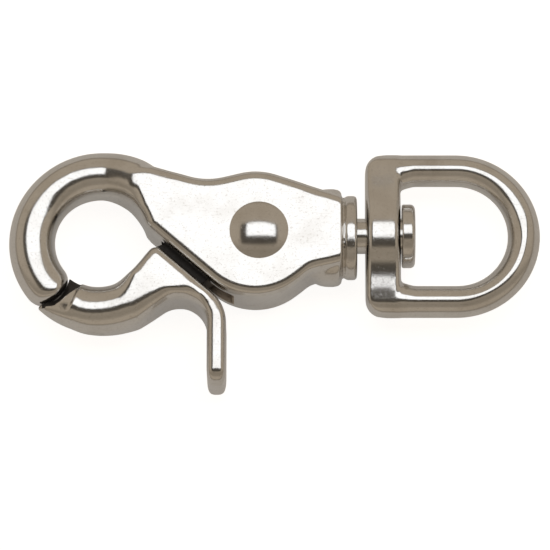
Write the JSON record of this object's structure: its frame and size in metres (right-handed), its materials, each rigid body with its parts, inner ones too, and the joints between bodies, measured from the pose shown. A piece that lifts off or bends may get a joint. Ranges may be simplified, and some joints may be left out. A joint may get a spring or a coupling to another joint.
{
  "type": "swivel-eye trigger snap hook",
  "caption": "Swivel-eye trigger snap: a round hook closed by a sprung jaw that a finger trigger opens, with a D-shaped eye turning on a headed stud.",
  "frame": {"origin": "middle of the eye's round bow, on the swivel's axis", "axes": "+X from the hook to the eye along the swivel's axis, +Y away from the trigger, +Z along the rivet, out of the face that lies up"},
  "size_m": [0.09, 0.0413, 0.0152],
  "materials": {
    "polished_nickel": "polished nickel plate",
    "spring_steel": "drawn wire"
  },
  "bodies": {
    "body": {"hook_body": "polished_nickel", "pivot_rivet": "polished_nickel", "torsion_spring": "spring_steel", "swivel_stud": "polished_nickel"},
    "jaw": {"trigger_jaw": "polished_nickel"},
    "eye": {"swivel_eye": "polished_nickel"}
  },
  "joints": [
    {"name": "trigger_pivot", "type": "hinge", "parent": "body", "child": "jaw", "pos_m": [-0.0334, -0.0005, 0], "axis": [0, 0, 1], "range_deg": [0, 22], "stiffness_Nm_per_rad": 0.25, "springref_deg": -28.65, "deforming": ["torsion_spring"]},
    {"name": "eye_swivel", "type": "hinge", "parent": "body", "child": "eye", "pos_m": [-0.0124, 0, 0], "axis": [1, 0, 0], "continuous": true}
  ]
}
